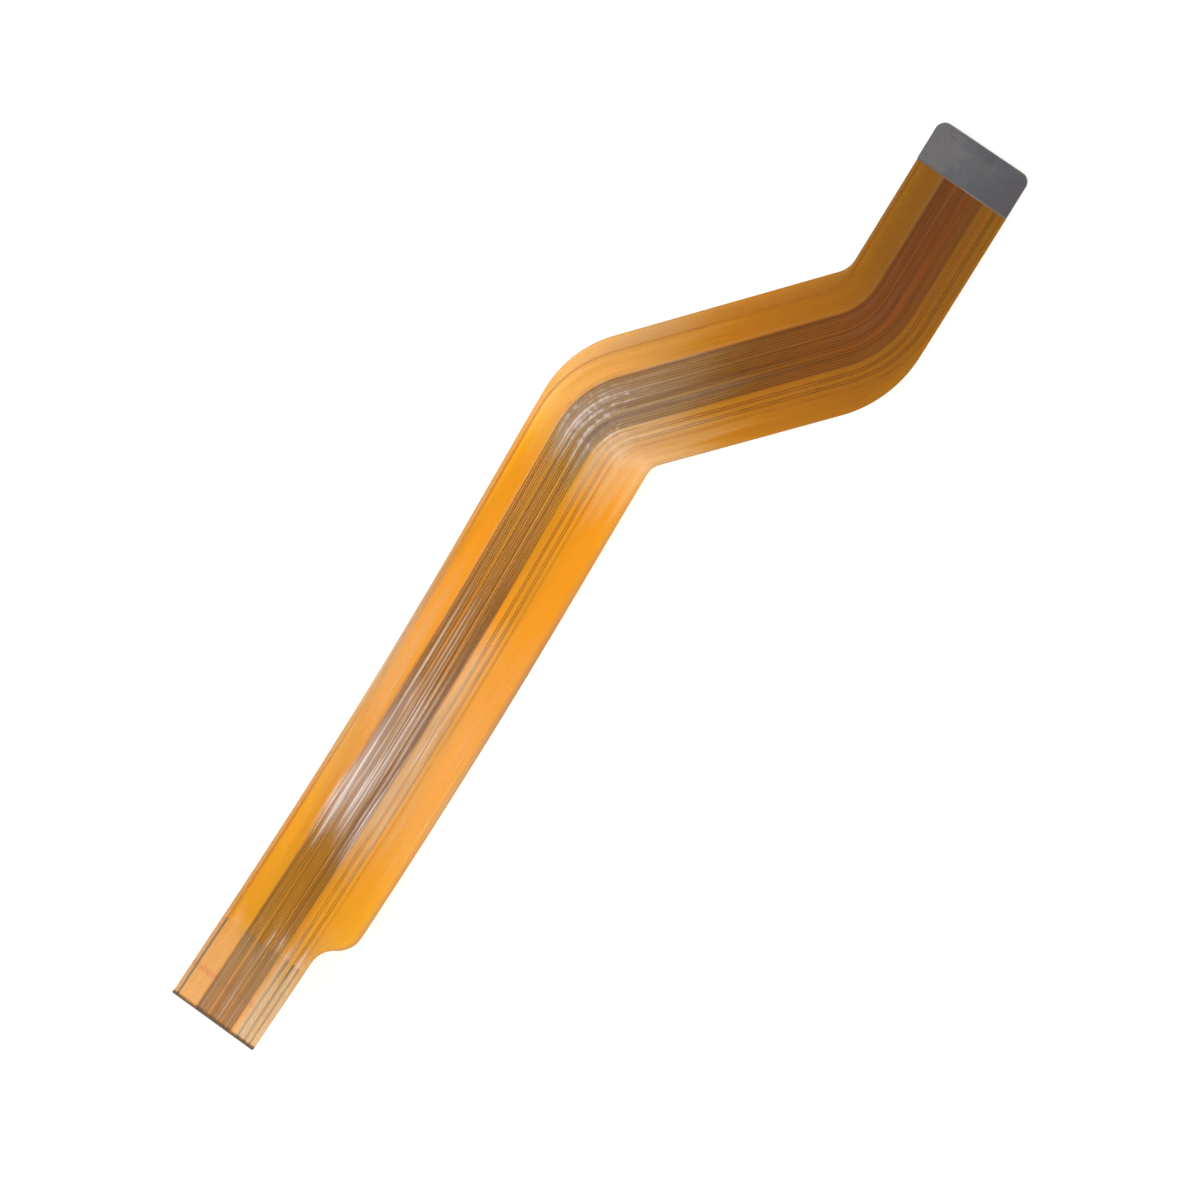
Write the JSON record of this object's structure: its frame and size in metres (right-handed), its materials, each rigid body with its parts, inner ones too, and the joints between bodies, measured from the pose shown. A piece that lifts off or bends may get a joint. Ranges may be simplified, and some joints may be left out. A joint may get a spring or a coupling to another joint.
{
  "type": "flat flex cable",
  "caption": "Z-shaped flat flex cable: copper lines sealed between amber films, a stiffened board plug at one end and a bare contact tail at the other.",
  "frame": {"origin": "middle of the plug's mating face, which lies on the surface that the cable rests on", "axes": "+Y along the legs, towards the plug's outer edge; +Z up, from the mating face through the film; +X to the right, seen from above with +Y up"},
  "size_m": [0.0302, 0.1209, 0.0065],
  "materials": {
    "amber_film": "glossy translucent polyimide film",
    "clear_adhesive": "thin clear adhesive sheet",
    "copper_foil": "rolled copper foil, bare ends gold plated",
    "stiffener_steel": "satin grey steel",
    "plug_moulding": "matt moulded",
    "gold_plated_contact": "gold plated, satin"
  },
  "bodies": {
    "root": {"base_film": "amber_film", "coverlay": "amber_film", "tail_stiffener": "amber_film", "plug_stiffener_adhesive": "clear_adhesive", "tail_stiffener_adhesive": "clear_adhesive", "plug_stiffener": "stiffener_steel", "plug_housing": "plug_moulding", "far_contact_row": "gold_plated_contact", "near_contact_row": "gold_plated_contact", "left_fitting_nail": "gold_plated_contact", "right_fitting_nail": "gold_plated_contact", "spare_pads": "copper_foil", "left_guard_line": "copper_foil", "right_guard_line": "copper_foil", "power_line_1": "copper_foil", "power_line_2": "copper_foil", "signal_line_01": "copper_foil", "signal_line_02": "copper_foil", "signal_line_03": "copper_foil", "signal_line_04": "copper_foil", "signal_line_05": "copper_foil", "signal_line_06": "copper_foil", "signal_line_07": "copper_foil", "signal_line_08": "copper_foil", "signal_line_09": "copper_foil", "signal_line_10": "copper_foil", "signal_line_11": "copper_foil", "signal_line_12": "copper_foil", "signal_line_13": "copper_foil", "signal_line_14": "copper_foil", "signal_line_15": "copper_foil", "signal_line_16": "copper_foil", "signal_line_17": "copper_foil", "signal_line_18": "copper_foil"}
  },
  "joints": []
}
